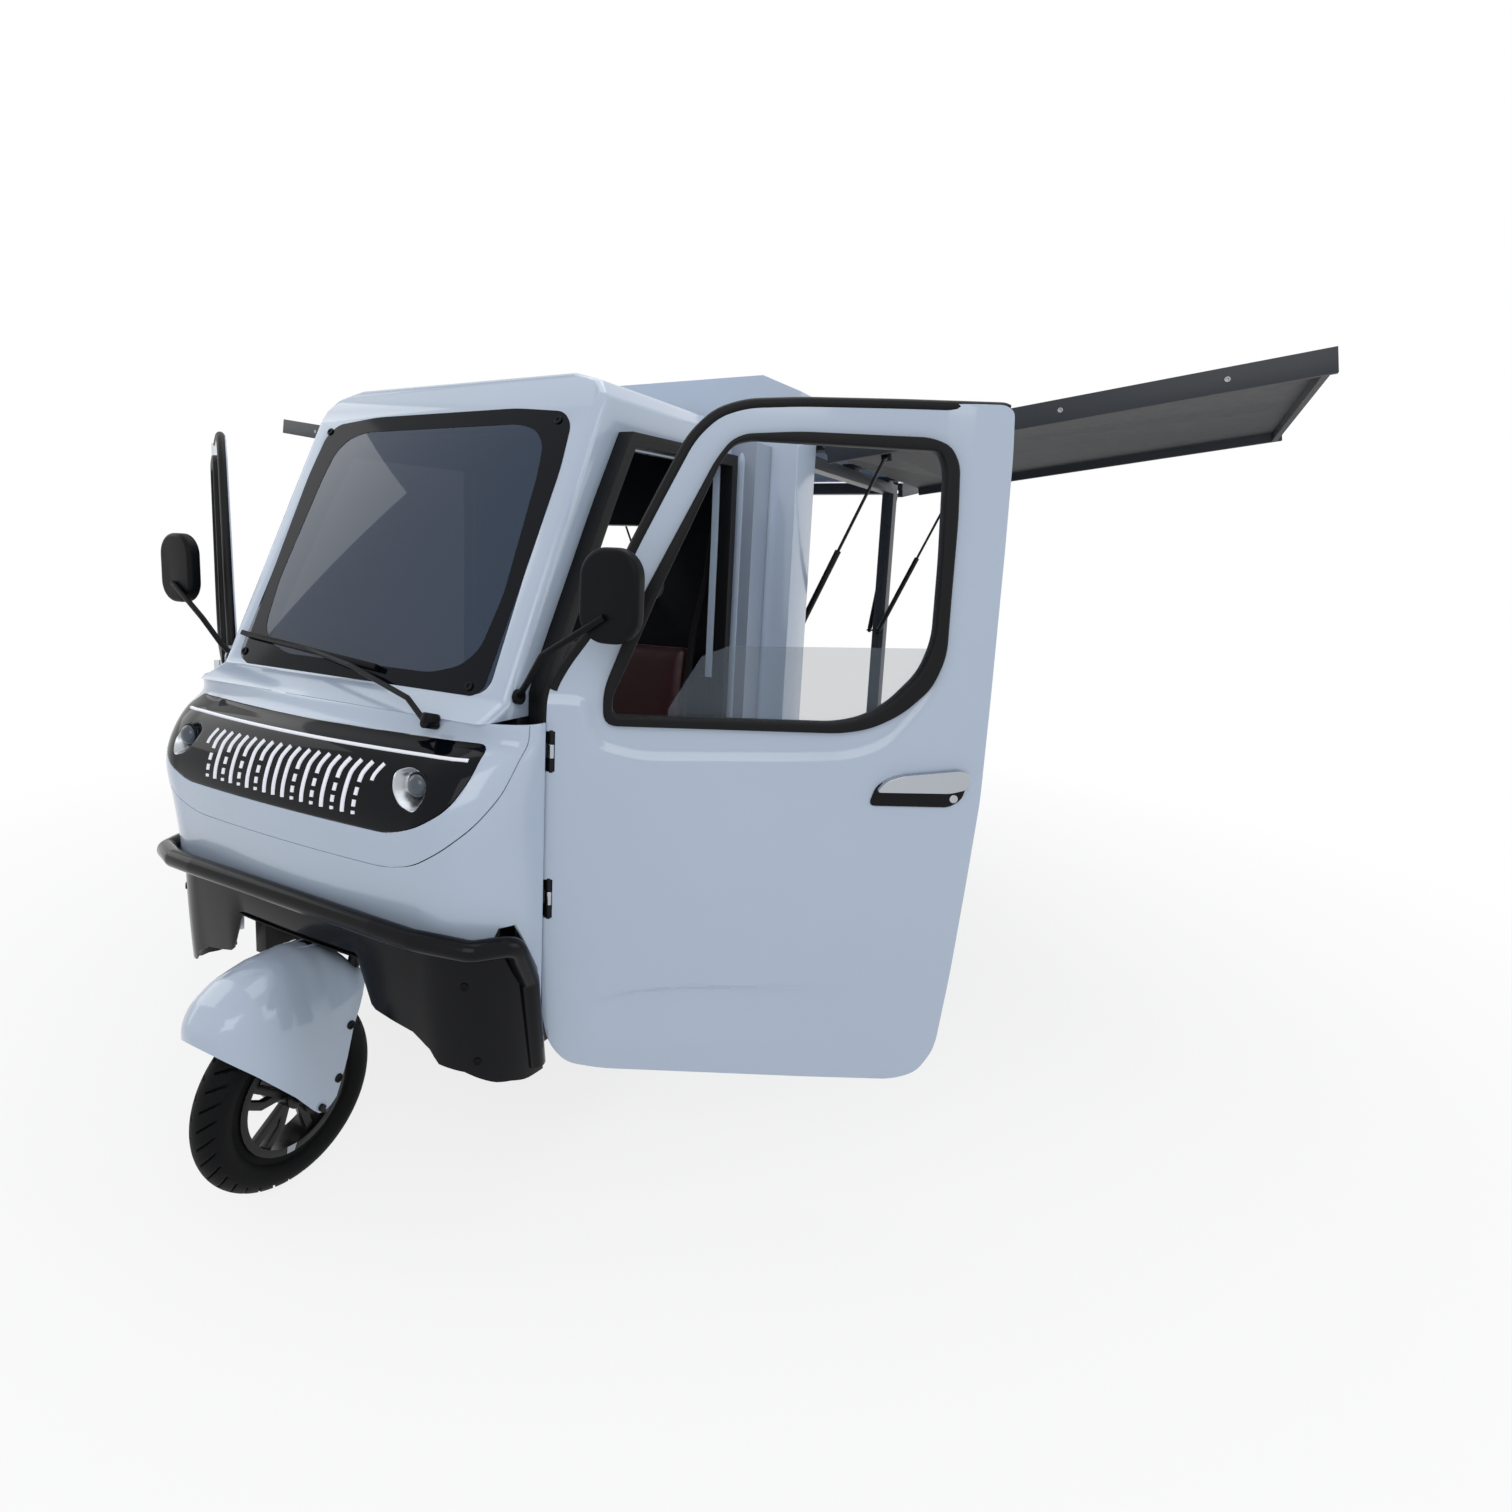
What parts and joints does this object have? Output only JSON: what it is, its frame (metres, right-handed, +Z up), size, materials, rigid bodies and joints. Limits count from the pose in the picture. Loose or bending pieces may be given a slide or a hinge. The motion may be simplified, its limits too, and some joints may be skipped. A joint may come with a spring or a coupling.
{
  "type": "electric cargo tricycle",
  "caption": "Enclosed electric cargo tricycle: single steered front wheel, cab with swing doors, and a load box whose side flaps and rear hatch lift on gas struts.",
  "frame": {"origin": "middle of the vehicle's length and width with doors, flaps and hatch open, at ground level", "axes": "+Z up, the vehicle faces -Y, +X towards its left side"},
  "size_m": [3.84, 3.963, 2.002],
  "materials": {
    "body_white": "glossy",
    "lid_panel": "painted, satin",
    "frame_black": "satin",
    "slate_steel": "satin",
    "cast_parts": "matt",
    "battery_case": "matt",
    "lamp_black": "glossy",
    "light_white": "glossy",
    "trim_black": "satin",
    "seal_rubber": "satin",
    "screen_glass": "tinted",
    "clear_glass": "clear",
    "seat_red": "satin",
    "deck_board": "coated",
    "lamp_red": "glossy",
    "alloy": "painted with machined faces",
    "tyre": "matt",
    "bright_metal": "polished",
    "strut_black": "satin"
  },
  "bodies": {
    "chassis": {"chassis_frame": "frame_black", "rear_axle": "cast_parts", "battery_box": "battery_case", "cab_floor": "frame_black", "cab_shell": "body_white", "cab_back": "body_white", "nose_upper": "body_white", "nose_lower": "body_white", "lamp_panel": "lamp_black", "lamp_lights": "light_white", "bumper": "trim_black", "arch_panels": "trim_black", "windscreen": "screen_glass", "wiper": "trim_black", "door_seals": "seal_rubber", "dash": "trim_black", "seat": "seat_red", "cargo_deck": "deck_board", "cargo_frame": "slate_steel", "cargo_shell": "body_white", "mirrors": "trim_black", "rear_guards": "trim_black", "tail_lamps": "lamp_red"},
    "steering": {"fork": "frame_black", "handlebar": "frame_black", "front_mudguard": "body_white"},
    "front_wheel": {"front_rim": "alloy", "front_tyre": "tyre"},
    "rear_wheel_left": {"rear_rim_left": "alloy", "rear_tyre_left": "tyre"},
    "rear_wheel_right": {"rear_rim_right": "alloy", "rear_tyre_right": "tyre"},
    "door_left": {"door_shell_left": "body_white", "door_glass_left": "clear_glass", "door_gasket_left": "seal_rubber", "door_fittings_left": "bright_metal"},
    "flap_body_left": {"flap_left": "lid_panel"},
    "strut_tube_body_left": {"strut_tubes_left": "strut_black"},
    "strut_rod_body_left": {"strut_rods_left": "bright_metal"},
    "door_right": {"door_shell_right": "body_white", "door_glass_right": "clear_glass", "door_gasket_right": "seal_rubber", "door_fittings_right": "bright_metal"},
    "flap_body_right": {"flap_right": "lid_panel"},
    "strut_tube_body_right": {"strut_tubes_right": "strut_black"},
    "strut_rod_body_right": {"strut_rods_right": "bright_metal"},
    "hatch_body": {"hatch": "lid_panel"},
    "strut_tube_body_rear": {"strut_tubes_rear": "strut_black"},
    "strut_rod_body_rear": {"strut_rods_rear": "bright_metal"}
  },
  "joints": [
    {"name": "steer", "type": "hinge", "parent": "chassis", "child": "steering", "pos_m": [0, -1.60401, 0.55], "axis": [0, 0.309, 0.9511], "range_deg": [-35, 35]},
    {"name": "front_spin", "type": "hinge", "parent": "steering", "child": "front_wheel", "pos_m": [0, -1.76401, 0.216], "axis": [1, 0, 0], "continuous": true},
    {"name": "rear_spin_left", "type": "hinge", "parent": "chassis", "child": "rear_wheel_left", "pos_m": [0.47, 0.23599, 0.225], "axis": [1, 0, 0], "continuous": true},
    {"name": "rear_spin_right", "type": "hinge", "parent": "chassis", "child": "rear_wheel_right", "pos_m": [-0.47, 0.23599, 0.225], "axis": [1, 0, 0], "continuous": true},
    {"name": "door_close_left", "type": "hinge", "parent": "chassis", "child": "door_left", "pos_m": [0.544, -1.51101, 0.88], "axis": [0, 0, 1], "range_deg": [0, 58.5]},
    {"name": "flap_close_left", "type": "hinge", "parent": "chassis", "child": "flap_body_left", "pos_m": [0.645, 0.24849, 1.815], "axis": [0, 1, 0], "range_deg": [0, 98.4]},
    {"name": "strut_swing_left", "type": "hinge", "parent": "chassis", "child": "strut_tube_body_left", "pos_m": [0.56, 0.24849, 1.175], "axis": [0, -1, 0], "range_deg": [0, 21.95]},
    {"name": "strut_slide_left", "type": "slide", "parent": "strut_tube_body_left", "child": "strut_rod_body_left", "axis": [-0.4102, 0, -0.912], "range_m": [0, 0.29296]},
    {"name": "door_close_right", "type": "hinge", "parent": "chassis", "child": "door_right", "pos_m": [-0.544, -1.51101, 0.88], "axis": [0, 0, -1], "range_deg": [0, 58.5]},
    {"name": "flap_close_right", "type": "hinge", "parent": "chassis", "child": "flap_body_right", "pos_m": [-0.645, 0.24849, 1.815], "axis": [0, -1, 0], "range_deg": [0, 98.4]},
    {"name": "strut_swing_right", "type": "hinge", "parent": "chassis", "child": "strut_tube_body_right", "pos_m": [-0.56, 0.24849, 1.175], "axis": [0, 1, 0], "range_deg": [0, 21.95]},
    {"name": "strut_slide_right", "type": "slide", "parent": "strut_tube_body_right", "child": "strut_rod_body_right", "axis": [0.4102, 0, -0.912], "range_m": [0, 0.29296]},
    {"name": "hatch_close", "type": "hinge", "parent": "chassis", "child": "hatch_body", "pos_m": [0, 0.88599, 1.815], "axis": [-1, 0, 0], "range_deg": [0, 98.4]},
    {"name": "strut_swing_rear", "type": "hinge", "parent": "chassis", "child": "strut_tube_body_rear", "pos_m": [0, 0.80099, 1.175], "axis": [1, 0, 0], "range_deg": [0, 21.95]},
    {"name": "strut_slide_rear", "type": "slide", "parent": "strut_tube_body_rear", "child": "strut_rod_body_rear", "axis": [0, -0.4102, -0.912], "range_m": [0, 0.29296]}
  ],
  "couplings": [
    {"joint": "strut_swing_left", "follows": "flap_close_left", "ratio": 0.22},
    {"joint": "strut_slide_left", "follows": "flap_close_left", "m_per_rad": 0.17},
    {"joint": "strut_swing_right", "follows": "flap_close_right", "ratio": 0.22},
    {"joint": "strut_slide_right", "follows": "flap_close_right", "m_per_rad": 0.17},
    {"joint": "strut_swing_rear", "follows": "hatch_close", "ratio": 0.22},
    {"joint": "strut_slide_rear", "follows": "hatch_close", "m_per_rad": 0.17}
  ]
}
